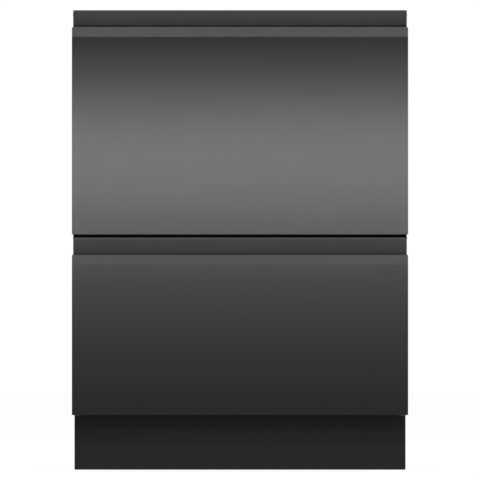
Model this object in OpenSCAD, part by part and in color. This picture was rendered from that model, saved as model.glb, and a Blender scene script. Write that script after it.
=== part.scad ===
// Two-drawer built-in dishwasher: a steel chassis with two tubs that slide out on telescopic rails.
// Millimetres. +Z is up, the fronts face -Y, and the origin is on the floor under the middle.

/* [Overall size] */
// Width across the drawer fronts
front_w = 599; // [590:1:610]
// Height from the floor to the top, with the feet screwed right in
total_h = 820; // [815:1:840]
// Depth from the front faces to the end of the water fitting
total_d = 573; // [568:1:590]

/* [Drawer fronts] */
// Height of the toe kick's top, where the lower front begins
kick_h = 98.5; // [94:0.5:104]
// Height of the lower front panel
lower_front_h = 285.5; // [280:0.5:292]
// Height of the strip that shows above each front panel
strip_h = 30.5; // [26:0.5:34]
// Gap between the lower strip and the upper front panel
front_gap = 5.5; // [4:0.5:8]
// Height of the bevel along the top of a front panel
bevel_h = 17; // [12:0.5:22]
// How far the bevel leans back
bevel_d = 9; // [6:0.5:11]
// How far the strip's face lies behind the front face
strip_back = 28.5; // [27:0.5:29.5]
// How much narrower the strip is than the front panel, each side
strip_inset = 2; // [1:0.5:3]
// How much narrower the toe kick is than the front panel, each side
kick_inset = 4; // [3:0.5:8]
// How far the toe kick's face lies behind the front face
kick_back = 56; // [50:1:58]
// Depth of a front panel's folded edges
panel_d = 24; // [18:1:25]
// How far the lip behind the bevel hangs down
lip_drop = 14; // [8:1:20]
// Depth of the finger recess below the lip's top
recess_drop = 37; // [30:1:44]
// Sheet of the fronts and strips
skin = 1.2; // [0.8:0.1:1.5]

/* [Chassis] */
// Sheet of the chassis
sheet = 1.2; // [0.8:0.1:1.4]
// From the front face back to the chassis's front edge
front_t = 36; // [35.5:0.5:38]
// Height of the chassis top below the upper strip's top
top_drop = 3; // [2:0.5:4]
// Space behind the back panel for the fittings
rear_space = 3; // [2:0.5:5]
// Height of the base tray's floor
tray_z = 60; // [56:1:64]
// Radius of a levelling foot's stem
foot_stem_r = 6; // [5:0.5:7]
// Travel of a levelling foot
foot_travel = 60; // [40:1:60]

/* [Rails] */
// Height of the outer rail
rail_h = 45; // [44:1:50]
// Thickness of a rail's steel
rail_t = 1.2; // [1:0.1:1.4]
// Length of each rail member
rail_len = 500; // [480:1:500]
// How far a drawer slides out
travel = 490; // [440:1:490]
// Radius of a rail's balls
ball_r = 2.4; // [2:0.1:2.6]

/* [Tubs] */
// Wall of a tub
tub_wall = 3; // [2.5:0.1:3.5]
// Free space between the chassis's front edge and the tub
cavity = 24.5; // [24:0.5:27]
// Free space behind a tub
rear_gap = 32; // [28:1:40]
// Height under a tub's floor for the sump and the pump
pump_space = 76; // [74:1:80]
// Radius of the sump in the tub's floor
sump_r = 150; // [140:1:160]
// Depth of the sump
sump_d = 18; // [16:1:20]

/* [Lids] */
// Height of a lid
lid_h = 20; // [18:1:22]
// How far a lid comes down onto its tub
lid_drop = 10; // [6:1:10]
// Height of a lid's seal
seal_h = 4; // [3:0.5:5]
// Radius of a lid's pins
lid_pin_r = 3; // [2.5:0.1:3.2]

/* [Racks] */
// Height of the upper rack's sides
upper_rack_h = 110; // [100:1:115]
// Height of the lower rack's sides
lower_rack_h = 58; // [50:1:60]
// Width of an upper cup rack
upper_cup_w = 100; // [80:1:102]
// Width of the lower cup rack
lower_cup_w = 78; // [66:1:78]
// Radius of a rack's frame wires
wire_r = 2; // [1.8:0.1:2.2]
// Distance between a rack's floor wires, and between its tines
wire_pitch = 44; // [42:1:50]
// Height of the folding tines
tine_h = 72; // [60:1:76]

/* [Spray arm] */
// Reach of a spray arm
arm_reach = 205; // [180:1:208]
// Radius of the post that it turns on
post_r = 9; // [8:0.5:10]

/* [Dispenser] */
// Width of the dispenser's body
disp_w = 180; // [170:1:190]
// Height of the dispenser's body
disp_h = 66; // [64:1:68]
// Radius of the rinse aid cap
cap_r = 17; // [14:1:18]

/* [Hidden] */
$fn = 48;
run_gap = 0.3;  // clearance between pieces that move past each other
fit_gap = 0.08; // radial clearance of a shaft in its bearing

half_w = front_w / 2;
chassis_x = half_w - strip_inset;
inner_x = chassis_x - sheet;
y_face = -total_d / 2;
y_chassis = y_face + front_t;
y_strip = y_face + strip_back;
y_liner = y_strip + skin;
y_end = total_d / 2;
y_back = y_end - rear_space;
y_tub0 = y_chassis + cavity;
y_tub1 = y_back - sheet - rear_gap;
y_mid = (y_tub0 + y_tub1) / 2;

// A bay is [bottom of its front panel, top of its strip, rack height, cup rack width]
lower = [kick_h, kick_h + lower_front_h + strip_h, lower_rack_h, lower_cup_w];
upper = [lower[1] + front_gap, total_h, upper_rack_h, upper_cup_w];
bays = [upper, lower];

top_z = total_h - top_drop;
side_z0 = kick_h - 1;
brace_h = 9;                 // height of the braces between the bays
brace_d = 40;
ledge_drop = 8;              // control ledge and lid, below the strip's top
under_gap = 6;               // least height of a drawer's underside above its front's bottom edge

// Rails, from the chassis wall inwards
rail_w = 12.7;
web_out = inner_x - rail_t;
race = 2 * ball_r + 0.1;     // space between two members for the balls
mid_h = rail_h - 2 * rail_t - 2 * race;
slide_h = mid_h - 2 * rail_t - 2 * race;
mid_x1 = web_out - run_gap - 0.3;
mid_x0 = mid_x1 - 10.4;
slide_x0 = inner_x - rail_w - 1.8;
slide_x1 = slide_x0 + 8.2;
rail_up = 52;                // rail's middle above the tub's floor

// Tub
tub_x = slide_x0 - 3.8;
rim_lip = 2;
rim_h = 4;
rim_in = 7;                  // the rim's landing for the seal, inwards from the tub's side
tub_corner = 26;
sump_step = 4;

function strip_z0(b) = b[1] - strip_h;
function lid_z1(b) = b[1] - ledge_drop;
function lid_z0(b) = lid_z1(b) - lid_h;
function seal_z0(b) = lid_z0(b) - seal_h;
function rim_z(b) = seal_z0(b) - lid_drop - run_gap;
function floor_z(b) = b[0] + pump_space;
function under_z(b) = b[0] + under_gap;
function sump_z(b) = floor_z(b) - sump_d;
function rail_z(b) = floor_z(b) + rail_up;
function rack_z(b) = floor_z(b) + rack_lift;
function pin_z(b) = lid_z0(b) + lid_h / 2;

// Lid, pins and links
lid_x = tub_x - 1.5;
lid_y0 = y_tub0 + 1.5;
lid_y1 = y_tub1 - 1;
lid_wall = 3;
seal_w = 5;
link_x0 = tub_x + rim_lip + 1.2;
link_t = 4;
link_up = 8;                 // link plate above the pin
link_down = 18;              // link plate below the raised pin
guide_x0 = link_x0 + link_t + 2.2;
guide_t = 2.5;
pin_y = [lid_y0 + 60, lid_y1 - 90];
slot_gap = 0.3;
motor_y = lid_y1 - 38;       // front of the lid motor
rod_r = 3;

// Rack
rack_lift = 46;
rack_x = tub_x - tub_wall - 15;
rack_y0 = y_tub0 + tub_wall + 17;
rack_y1 = y_tub1 - tub_wall - 15;
rack_corner = 12;
weld = 0.4;                  // how far two crossing wires melt into each other
weld_gap = 0.1;              // between the rack's separate grids, at their butt welds
step_z = 2 * wire_r - weld;
clip_r = 5;
rod_bore = wire_r + fit_gap;
tine_r = 1.7;
tine_y = y_mid;
hinge_up = 12;               // folding rod above the rack's floor wires
cup_hinge_x = rack_x - 1;
cup_hinge_up = 9;            // cup rack's rod above the rack's top wire
cup_lip = 9;

// Dispenser
disp_drop = 13;              // dispenser's top below the rim
disp_depth = 20;
disp_flange = 6;
flap_t = 2.5;
flap_w = 76;
flap_h = 44;
flap_x = -44;
cap_x = 48;
cap_t = 8;
cap_stem_r = 6;

function disp_z(b) = rim_z(b) - disp_drop - disp_h / 2;
function flap_z(b) = disp_z(b) - flap_h / 2 - 2;

// Base
tray_x = chassis_x - 7.5;
tray_y0 = y_face + kick_back + skin + 3.3;
tray_y1 = y_back - 21.5;
boss_z0 = 18;
foot_x = tray_x - 40;
foot_y = [tray_y0 + 36, tray_y1 - 30];
port_z = tray_z + 18.5;
port_r = 13.2;
spigot_r = 9.5;
port_x = -tray_x + 100;
spigot_x = tray_x - 100;
gland_x = tray_x - 170;
gland_r = 10;
cable_r = 4;
tab_x = tray_x - 50;
tab_hole_r = 2.5;
gland_out = 16;              // gland's nose behind the tray
screw_r = 3.6;
screw_head = 1.6;
screw_in = 24;               // first side screw behind the front edge
screw_up = 30;               // back panel's screws from its ends

module box(x0, x1, y0, y1, z0, z1) translate([x0, y0, z0]) cube([x1 - x0, y1 - y0, z1 - z0]);

module both_sides() {
    children();
    mirror([1, 0, 0]) children();
}

module rod_x(r, x0, x1, y, z) translate([x0, y, z]) rotate([0, 90, 0]) cylinder(r = r, h = x1 - x0);
module rod_y(r, y0, y1, x, z) translate([x, y0, z]) rotate([-90, 0, 0]) cylinder(r = r, h = y1 - y0);
module rod_z(r, z0, z1, x, y) translate([x, y, z0]) cylinder(r = r, h = z1 - z0);

// A rectangle with round corners, from one corner to the other
module round_rect(x0, x1, y0, y1, r) {
    difference() {
        translate([x0, y0]) square([x1 - x0, y1 - y0]);
        for (c = [[x0, y0, 1, 1], [x1, y0, -1, 1], [x0, y1, 1, -1], [x1, y1, -1, -1]])
            translate([c[0], c[1]]) scale_corner(c[2], c[3], r);
    }
}

// What a round corner of radius r leaves over in a square one
module scale_corner(sx, sy, r) {
    difference() {
        translate([sx > 0 ? -1 : -r, sy > 0 ? -1 : -r]) square(r + 1);
        translate([sx * r, sy * r]) circle(r);
    }
}

module round_block(x0, x1, y0, y1, z0, z1, r) {
    translate([0, 0, z0]) linear_extrude(z1 - z0) round_rect(x0, x1, y0, y1, r);
}

// ---- Drawer fronts ----

// Height of the bevelled sheet's inner face at depth d behind the front face
function bevel_inner(d, top) =
    let (len = sqrt(bevel_d * bevel_d + bevel_h * bevel_h))
    top - bevel_h - skin * bevel_d / len + (d - skin * bevel_h / len) * bevel_h / bevel_d;

module front_panel(b) {
    z0 = b[0];
    z1 = strip_z0(b);
    lip_d = bevel_d + 2 * skin;
    color("#3c3d3f") {
        // Face, bevel and hanging lip, one folded sheet
        translate([-half_w, y_face, 0]) rotate([90, 0, 90]) linear_extrude(front_w)
            polygon([[0, z0], [0, z1 - bevel_h], [bevel_d, z1], [lip_d, z1], [lip_d, z1 - lip_drop],
                     [bevel_d, z1 - lip_drop], [bevel_d, bevel_inner(bevel_d, z1)],
                     [skin, bevel_inner(skin, z1)], [skin, z0 + skin], [panel_d, z0 + skin], [panel_d, z0]]);
        // Folded edge at each side
        both_sides() translate([half_w - skin, y_face, 0]) rotate([90, 0, 90]) linear_extrude(skin)
            polygon([[0, z0], [0, z1 - bevel_h], [bevel_d, z1], [lip_d, z1], [panel_d, z1 - lip_drop],
                     [panel_d, z0]]);
    }
}

module handle_strip(b) {
    recess_z = strip_z0(b) - recess_drop;
    color("#3a3b3d") {
        box(-chassis_x, chassis_x, y_strip, y_liner, recess_z, b[1]);
        box(-chassis_x, chassis_x, y_strip, y_liner + 3, b[1] - skin, b[1]);
        box(-chassis_x, chassis_x, y_face + skin, y_liner, recess_z, recess_z + skin);
    }
}

liner_t = 3;
duct_x = tub_x - 8;
duct_wall = 2.5;
ledge_t = 2.5;
controls_x = 150;

module liner_plate(b) {
    z0 = b[0] + skin;
    z1 = b[1] - skin;
    box(-chassis_x + 1.5, chassis_x - 1.5, y_liner, y_liner + liner_t, z0, z1);
}

module front_liner(b) {
    y1 = y_liner + liner_t;
    z0 = b[0] + under_gap;
    recess_z = strip_z0(b) - recess_drop;
    color("#2b2c2e") difference() {
        union() {
            liner_plate(b);
            // Duct between the plate and the tub
            both_sides() box(duct_x - duct_wall, duct_x, y1, y_tub0, z0, lid_z1(b));
            box(-duct_x, duct_x, y1, y_tub0, z0, z0 + duct_wall);
            // Ledge that carries the controls, and the wall behind it
            box(-duct_x, duct_x, y1, y_tub0, lid_z1(b) - ledge_t, lid_z1(b));
            box(-duct_x, duct_x, y_tub0 - duct_wall, y_tub0, rim_z(b), lid_z1(b));
            // Frame and bosses that the front panel is fixed to
            both_sides() box(half_w - skin - 5, half_w - skin - 2, y_face + skin, y_liner, z0, recess_z);
            box(-half_w + skin + 2, half_w - skin - 2, y_face + skin, y_liner, z0, z0 + 3);
            for (x = [-duct_x + 70, 0, duct_x - 70])
                box(x - 1.5, x + 1.5, y_face + skin, y_liner, z0, recess_z);
            both_sides() for (z = [z0 + 30, recess_z - 30])
                rod_y(8, y_face + skin, y_liner, duct_x - 30, z);
        }
        // Window for the controls
        box(-controls_x - run_gap, controls_x + run_gap, y1 + 1.5, y_tub0 - duct_wall - 1.5,
            lid_z1(b) - ledge_t - 1, lid_z1(b) + 1);
        // Air slots in the duct's floor
        for (i = [0 : 9])
            box(-180 + 14 * i, -173 + 14 * i, y1 + 5, y_tub0 - 5, z0 - 1, z0 + duct_wall + 1);
    }
}

module controls(b) {
    y0 = y_liner + liner_t + 1.5 + run_gap;
    y1 = y_tub0 - duct_wall - 1.5 - run_gap;
    z1 = lid_z1(b);
    color("#101113") {
        box(-controls_x, controls_x, y0, y1, z1 - 24, z1);
        // Bezel that rests on the ledge
        box(-controls_x - 3, controls_x + 3, y0 - 1.3, y1 + 1.3, z1, z1 + 1.5);
    }
}

// ---- Tub and what is under it ----

module tub(b) {
    zf = floor_z(b);
    zr = rim_z(b);
    zs = sump_z(b);
    dz = disp_z(b);
    color("#b9bcbe") difference() {
        union() {
            round_block(-tub_x, tub_x, y_tub0, y_tub1, zf - tub_wall, zr, tub_corner);
            round_block(-tub_x - rim_lip, tub_x + rim_lip, y_tub0, y_tub1 + rim_lip, zr - rim_h, zr,
                        tub_corner);
            rod_z(sump_r + tub_wall, zs - tub_wall, zf - tub_wall + 0.5, 0, y_mid);
            // Ribs under the floor
            both_sides() for (x = [175, 235])
                box(x, x + tub_wall, y_tub0 + 30, y_tub1 - 30, zf - tub_wall - 14, zf - tub_wall + 0.5);
            // Seats for the rails
            both_sides() for (y = rail_screw_y)
                rod_x(7, tub_x - 1, slide_x0, y, rail_z(b));
        }
        // Inside, with the rim's landing left standing
        round_block(-tub_x + tub_wall, tub_x - tub_wall, y_tub0 + tub_wall, y_tub1 - tub_wall,
                    zf, zr - rim_h, tub_corner - tub_wall);
        round_block(-tub_x + rim_in, tub_x - rim_in, y_tub0 + rim_in, y_tub1 - rim_in,
                    zr - rim_h - 1, zr + 1, tub_corner - rim_in);
        // Sump, with the step that the filter plate rests on
        rod_z(sump_r, zf - sump_step, zf + 1, 0, y_mid);
        rod_z(sump_r - 5, zs, zf, 0, y_mid);
        rod_z(volute_r + run_gap, zs - tub_wall - 1, zs + 1, 0, y_mid);
        // Window for the dispenser
        box(-disp_w / 2 - run_gap, disp_w / 2 + run_gap, y_tub0 - 1, y_tub0 + tub_wall + 1,
            dz - disp_h / 2 - run_gap, dz + disp_h / 2 + run_gap);
    }
}

volute_r = 44;
volute_in = 38;
impeller_r = 33;
shaft_r = 4;
motor_r = 70;

module pump_motor(b) {
    z0 = under_z(b);
    zs = sump_z(b) - tub_wall;
    color("#303234") {
        difference() {
            union() {
                // Motor can under the sump, with its finned rim
                rod_z(motor_r, z0 + 6, zs, 0, y_mid);
                rod_z(motor_r - 14, z0, zs, 0, y_mid);
                rod_z(volute_r, zs - 1, sump_z(b) + 8, 0, y_mid);
                for (a = [0 : 30 : 330]) translate([0, y_mid, 0]) rotate([0, 0, a])
                    box(motor_r - 4, motor_r + 6, -1.5, 1.5, z0 + 10, zs);
            }
            rod_z(volute_in, sump_z(b) - 2, sump_z(b) + 9, 0, y_mid);
            rod_z(shaft_r + fit_gap, z0 + 8, sump_z(b), 0, y_mid);
        }
        // Drain pump and its outlet, on the motor's side
        rod_x(19, motor_r - 8, motor_r + 66, y_mid + 20, z0 + 20);
        rod_x(12, motor_r + 60, motor_r + 78, y_mid + 20, z0 + 20);
        rod_y(8, y_mid + 20, y_tub1 - 10, motor_r + 50, z0 + 20);
        // Water heater's ring, clamped under the sump
        difference() {
            rod_z(motor_r + 34, zs - 8, zs, 0, y_mid);
            rod_z(motor_r + 24, zs - 9, zs + 1, 0, y_mid);
        }
        for (a = [45, 135, 225, 315]) translate([0, y_mid, 0]) rotate([0, 0, a])
            box(motor_r - 4, motor_r + 27, -4, 4, zs - 6, zs - 1);
    }
}

module impeller(b) {
    zs = sump_z(b);
    color("#d8dadb") {
        rod_z(shaft_r, under_z(b) + 9, zs + 6, 0, y_mid);
        rod_z(impeller_r, zs - 1.6, zs, 0, y_mid);
        rod_z(9, zs - 1.6, zs + 6, 0, y_mid);
        for (a = [0 : 60 : 300]) translate([0, y_mid, 0]) rotate([0, 0, a])
            translate([7, 0, zs - 1]) rotate([0, 0, 25]) translate([0, -0.8, 0]) cube([23, 1.6, 6.5]);
    }
}

plate_t = 2;
post_h = 34;
collar_z = 12;

module filter_plate(b) {
    zp = floor_z(b) - sump_step;
    color("#8d9193") {
        difference() {
            union() {
                rod_z(sump_r - 1, zp, zp + plate_t, 0, y_mid);
                rod_z(post_r + 12, zp, zp + 6, 0, y_mid);
            }
            // Rings of slots that strain the water
            for (ring = [0 : 3]) for (i = [0 : 13 + 7 * ring])
                translate([0, y_mid, 0]) rotate([0, 0, i * 360 / (14 + 7 * ring)])
                    box(sump_r - 104 + 24 * ring, sump_r - 88 + 24 * ring, -2.5, 2.5, zp - 1, zp + plate_t + 1);
        }
        // Post that the spray arm turns on
        rod_z(post_r, zp, zp + sump_step + post_h, 0, y_mid);
        rod_z(post_r + 4, zp, zp + sump_step + collar_z, 0, y_mid);
        // Finger grips that lock the plate
        difference() {
            rod_z(sump_r - 8, zp, zp + 6, 0, y_mid);
            rod_z(sump_r - 11, zp - 1, zp + 7, 0, y_mid);
            box(-sump_r, sump_r, y_mid - 106, y_mid + 106, zp - 1, zp + 8);
        }
    }
}

arm_t = 10;

module spray_arm(b) {
    z0 = floor_z(b) + collar_z + run_gap;
    hub_r = 30;
    color("#e4e6e6") translate([0, y_mid, 0]) difference() {
        union() {
            rod_z(hub_r, z0, z0 + arm_t + 3, 0, 0);
            for (a = [20, 200]) rotate([0, 0, a]) {
                // Tapered arm with a round end
                translate([0, 0, z0]) linear_extrude(arm_t)
                    polygon([[10, -22], [arm_reach - 14, -12], [arm_reach - 14, 12], [10, 22]]);
                rod_z(12.5, z0, z0 + arm_t, arm_reach - 12.5, 0);
            }
            for (a = [110, 290]) rotate([0, 0, a]) {
                translate([0, 0, z0]) linear_extrude(arm_t)
                    polygon([[10, -16], [88, -9], [88, 9], [10, 16]]);
                rod_z(9.5, z0, z0 + arm_t, 88, 0);
            }
        }
        rod_z(post_r + fit_gap, z0 - 1, z0 + arm_t + 4, 0, 0);
        // Jets
        for (a = [20, 200]) rotate([0, 0, a]) for (r = [60 : 30 : 180])
            rod_z(2.2, z0 + arm_t - 3, z0 + arm_t + 1, r, r % 60 == 0 ? 5 : -5);
    }
}

// ---- Racks ----

// A side grid's wire: a bend up from the floor, and an upright
module side_wire(y, z, h, r) {
    bend = rack_corner;
    translate([rack_x - bend, y, z + bend]) rotate([90, 0, 0])
        rotate([0, 0, -90]) rotate_extrude(angle = 90) translate([bend, 0]) circle(r);
    rod_z(r, z + bend, z + h, rack_x, y);
}

// The same for the grid at end e: 0 at the front, 1 at the rear
module end_wire(e, x, z, h, r) {
    bend = rack_corner;
    y = e == 0 ? rack_y0 : rack_y1;
    in = e == 0 ? 1 : -1;
    translate([x, y + in * bend, z + bend]) rotate([90, 0, in > 0 ? -90 : 90])
        rotate([0, 0, -90]) rotate_extrude(angle = 90) translate([bend, 0]) circle(r);
    rod_z(r, z + bend, z + h, x, y);
}

// A wire along the grid at end e, with a bend at each side
module end_rail(e, z, r, out) {
    x = rack_x + out;
    y = e == 0 ? rack_y0 - out : rack_y1 + out;
    in = e == 0 ? 1 : -1;
    c = rack_corner;
    rod_x(r, -x + c, x - c, y, z);
    both_sides() translate([x - c, y + in * c, z]) rotate([0, 0, e == 0 ? -90 : 0])
        rotate_extrude(angle = 90) translate([c, 0]) circle(r);
}

// Floor wires: as many as fit at the pitch, evenly about the rack's middle
nx = floor((rack_y1 - rack_y0 - 2 * rack_corner) / wire_pitch) + 1;
ny = floor(2 * (rack_x - rack_corner) / wire_pitch) + 1;
wires_x = [for (k = [0 : nx - 1]) (rack_y0 + rack_y1) / 2 + (k - (nx - 1) / 2) * wire_pitch];
wires_y = [for (k = [0 : ny - 1]) (k - (ny - 1) / 2) * wire_pitch];
clip_x = [wires_y[2], wires_y[floor(ny / 2) - 1], wires_y[ny - 4]];
clip_y = [wires_x[1] + wire_pitch / 2, wires_x[nx - 2] - wire_pitch / 2];
tine_rows = [rack_y0 + 88, rack_y1 - 88];

// The rack's grids are welded end to end: floor, two sides, two ends and two rows of tines
module rack(b) {
    z = rack_z(b);
    h = b[2];
    flat_x = rack_x - rack_corner - weld_gap;
    tines_z = z + step_z + 2 * wire_r + weld_gap;
    color("#9aa0a4") {
        // Floor
        for (y = wires_x) rod_x(wire_r, -flat_x, flat_x, y, z);
        for (x = wires_y)
            rod_y(wire_r, rack_y0 + rack_corner + weld_gap, rack_y1 - rack_corner - weld_gap, x, z + step_z);
        // Sides
        both_sides() {
            for (y = wires_x) side_wire(y, z, h, wire_r);
            for (rail = [[h, wire_r + 0.6], [h / 2, wire_r]])
                rod_y(rail[1], rack_y0 - step_z + rack_corner + weld_gap, rack_y1 + step_z - rack_corner - weld_gap,
                    rack_x + step_z, z + rail[0]);
        }
        // Ends
        for (e = [0, 1]) {
            for (x = wires_y) end_wire(e, x, z + step_z, h - step_z, wire_r);
            end_rail(e, z + h, wire_r + 0.6, step_z);
            end_rail(e, z + h / 2, wire_r, step_z);
        }
        // Fixed tines
        for (y = tine_rows) {
            for (k = [1 : ny - 2]) rod_z(tine_r, tines_z, z + min(h, tine_h), wires_y[k], y);
            rod_x(wire_r, wires_y[0] - 3, wires_y[ny - 1] + 3, y, tines_z);
        }
        // Clips that carry the folding row, each over a floor wire
        for (x = clip_x) difference() {
            union() {
                rod_x(clip_r, x - 4, x + 4, tine_y, z + hinge_up);
                box(x - 4, x + 4, tine_y - 4, tine_y + 4, z + step_z - wire_r, z + hinge_up);
            }
            rod_x(rod_bore, x - 5, x + 5, tine_y, z + hinge_up);
            rod_y(wire_r + weld_gap, tine_y - 6, tine_y + 6, x, z + step_z);
            box(x - wire_r - weld_gap + 0.2, x + wire_r + weld_gap - 0.2, tine_y - 6, tine_y + 6,
                z, z + step_z);
        }
        // Feet that stand on the tub's floor, under the crossings of the outer wires
        both_sides() for (y = [wires_x[0], wires_x[nx - 1]])
            rod_z(5, floor_z(b), z - wire_r - weld_gap, wires_y[ny - 1], y);
        // Clips for the cup racks
        cup_clips(b, -1);
        if (b == upper) cup_clips(b, 1);
    }
}

module cup_clips(b, side) {
    z = rack_z(b) + b[2];
    for (y = clip_y) difference() {
        union() {
            rod_y(clip_r, y - 5, y + 5, side * cup_hinge_x, z + cup_hinge_up);
            box(side * cup_hinge_x - 3, side * cup_hinge_x + 3, y - 5, y + 5, z + 1, z + cup_hinge_up - 3);
        }
        rod_y(rod_bore, y - 6, y + 6, side * cup_hinge_x, z + cup_hinge_up);
    }
}

module tine_row(b) {
    z = rack_z(b) + hinge_up;
    // Tines stand midway between the floor wires, and the lower row stops short of the basket
    tines = b == upper ? [1 : ny - 3] : [2 : ny - 5];
    xs = [for (k = tines) wires_y[k] + wire_pitch / 2];
    color("#7d8589") {
        rod_x(wire_r, min(xs[0], clip_x[0]) - 10, max(xs[len(xs) - 1], clip_x[2]) + 6, tine_y, z);
        for (x = xs) {
            rod_z(tine_r, z, z + tine_h, x, tine_y);
            translate([x, tine_y, z + tine_h]) sphere(tine_r + 0.5);
        }
    }
}

module cup_rack(b, side) {
    z = rack_z(b) + b[2] + cup_hinge_up;
    w = b[3];
    x0 = side * cup_hinge_x;
    x1 = side * (cup_hinge_x - w);
    ya = wires_x[1];
    yb = wires_x[nx - 2];
    leg_r = wire_r - 0.6;
    color("#7d8589") {
        for (x = [x0, x1]) rod_y(wire_r, ya - 4, yb + 4, x, z);
        rod_y(wire_r - 0.2, ya - 4, yb + 4, (x0 + x1) / 2, z);
        for (k = [1 : nx - 2]) rod_x(wire_r - 0.4, min(x0, x1), max(x0, x1), wires_x[k], z);
        // Legs that rest against the rack's side wires and hold the shelf level
        for (y = [ya, yb])
            rod_z(leg_r, z - 24, z, side * (rack_x - wire_r - run_gap - leg_r), y);
        // Rail that keeps stems from sliding off
        for (k = [1 : 2 : nx - 2]) rod_z(leg_r, z, z + cup_lip, x1, wires_x[k]);
        rod_y(wire_r - 0.3, ya - 4, yb + 4, x1, z + cup_lip);
    }
}

basket_x = [wires_y[ny - 1] - 98, wires_y[ny - 1] - 22];
basket_y = [y_mid - 110, y_mid + 110];
basket_wall = 2;
basket_h = 102;
basket_cells = 4;

module cutlery_basket(b) {
    z0 = rack_z(b) + step_z + wire_r + 0.02;
    pitch = (basket_y[1] - basket_y[0] - basket_wall) / basket_cells;
    color("#6f7678") difference() {
        union() {
            box(basket_x[0], basket_x[1], basket_y[0], basket_y[1], z0, z0 + basket_h);
            box(basket_x[0] - 3, basket_x[1] + 3, basket_y[0] - 3, basket_y[1] + 3,
                z0 + basket_h - 6, z0 + basket_h);
        }
        for (i = [0 : basket_cells - 1])
            box(basket_x[0] + basket_wall, basket_x[1] - basket_wall,
                basket_y[0] + basket_wall + i * pitch, basket_y[0] + (i + 1) * pitch,
                z0 + basket_wall, z0 + basket_h + 1);
        // Windows in the long sides
        for (i = [0 : basket_cells - 1]) for (j = [0 : 2]) for (k = [0 : 2])
            box(basket_x[0] - 1, basket_x[1] + 1,
                basket_y[0] + i * pitch + 8 + j * 15, basket_y[0] + i * pitch + 16 + j * 15,
                z0 + 10 + k * 27, z0 + 30 + k * 27);
    }
}

// ---- Dispenser ----

module dispenser(b) {
    z = disp_z(b);
    y_in = y_tub0 + tub_wall;
    fz = flap_z(b);
    color("#a9adb0") difference() {
        union() {
            box(-disp_w / 2, disp_w / 2, y_in - disp_depth, y_in + 1.5, z - disp_h / 2, z + disp_h / 2);
            box(-disp_w / 2 - disp_flange, disp_w / 2 + disp_flange, y_in, y_in + 1.5,
                z - disp_h / 2 - disp_flange, z + disp_h / 2 + disp_flange);
            // Ears that hold the flap's pin
            for (s = [-1, 1]) box(flap_x + s * (flap_w / 2 - 9) - 2, flap_x + s * (flap_w / 2 - 9) + 2,
                y_in + 1, y_in + 9, fz - 4.5, fz + 4.5);
        }
        // Detergent cup
        box(flap_x - flap_w / 2 + 14, flap_x + flap_w / 2 - 14, y_in - disp_depth + 2, y_in + 3,
            fz + 8, fz + flap_h - 4);
        // Rinse aid neck
        rod_y(cap_stem_r + fit_gap, y_in - disp_depth + 6, y_in + 3, cap_x, z);
        rod_x(1.5 + fit_gap, flap_x - flap_w / 2, flap_x + flap_w / 2, y_in + 5, fz);
    }
}

module dispenser_lid(b) {
    y0 = y_tub0 + tub_wall + 1.5 + run_gap;
    fz = flap_z(b);
    knuckle = flap_w / 2 - 11 - run_gap;
    color("#c9ccce") {
        box(flap_x - flap_w / 2, flap_x + flap_w / 2, y0, y0 + flap_t, fz + 6, fz + flap_h);
        // Knuckle between the ears, on its pin
        rod_x(1.5, flap_x - knuckle - 3.5, flap_x + knuckle + 3.5, y0 - 1.5 - run_gap + 5, fz);
        rod_x(3, flap_x - knuckle, flap_x + knuckle, y0 - 1.5 - run_gap + 5, fz);
        box(flap_x - knuckle, flap_x + knuckle, y0 + 0.6, y0 + flap_t, fz, fz + 7);
        // Finger latch
        box(flap_x - 10, flap_x + 10, y0, y0 + flap_t + 3, fz + flap_h - 8, fz + flap_h - 4);
    }
}

module rinse_cap(b) {
    y0 = y_tub0 + tub_wall + 1.5 + run_gap;
    color("#3a6ea5") {
        rod_y(cap_r, y0, y0 + cap_t - 3, cap_x, disp_z(b));
        rod_y(cap_stem_r, y0 - 10, y0 + 1, cap_x, disp_z(b));
        box(cap_x - cap_r + 3, cap_x + cap_r - 3, y0, y0 + cap_t, disp_z(b) - 2.5, disp_z(b) + 2.5);
    }
}

// ---- Lid and what lowers it ----

module lid(b) {
    z0 = lid_z0(b);
    z1 = lid_z1(b);
    color("#c4c7c9") {
        difference() {
            round_block(-lid_x, lid_x, lid_y0, lid_y1, z0, z1, 14);
            round_block(-lid_x + lid_wall, lid_x - lid_wall, lid_y0 + lid_wall, lid_y1 - lid_wall,
                        z0 + lid_wall, z1 + 1, 14 - lid_wall);
        }
        // Stiffening ribs
        for (x = [-180, -90, 0, 90, 180])
            box(x - 1.2, x + 1.2, lid_y0 + 1, lid_y1 - 1, z0 + 1, z1 - 5);
        for (y = [y_mid - 120, y_mid, y_mid + 120])
            box(-lid_x + 1, lid_x - 1, y - 1.2, y + 1.2, z0 + 1, z1 - 6);
        // Pins that ride in the links
        both_sides() for (y = pin_y) {
            rod_x(lid_pin_r, lid_x - 1, guide_x0 + guide_t + 1.5, y, pin_z(b));
            rod_x(7, lid_x - 1, lid_x + 2, y, pin_z(b));
        }
    }
}

module lid_seal(b) {
    color("#55585a") difference() {
        round_block(-lid_x, lid_x, lid_y0, lid_y1, seal_z0(b), lid_z0(b), 14);
        round_block(-lid_x + seal_w, lid_x - seal_w, lid_y0 + seal_w, lid_y1 - seal_w,
                    seal_z0(b) - 1, lid_z0(b) + 1, 14 - seal_w);
    }
}

// Slot for a pin that moves from [0, 0] to [dy, dz], cut through a plate across X
module slot_yz(r, dy, dz, x0, x1) {
    len = sqrt(dy * dy + dz * dz);
    flat = r - 0.1;
    rod_x(r, x0, x1, 0, 0);
    rod_x(r, x0, x1, dy, dz);
    translate([x0, 0, 0]) rotate([atan2(dz, dy), 0, 0])
        translate([0, 0, -flat]) cube([x1 - x0, len, 2 * flat]);
}

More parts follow.
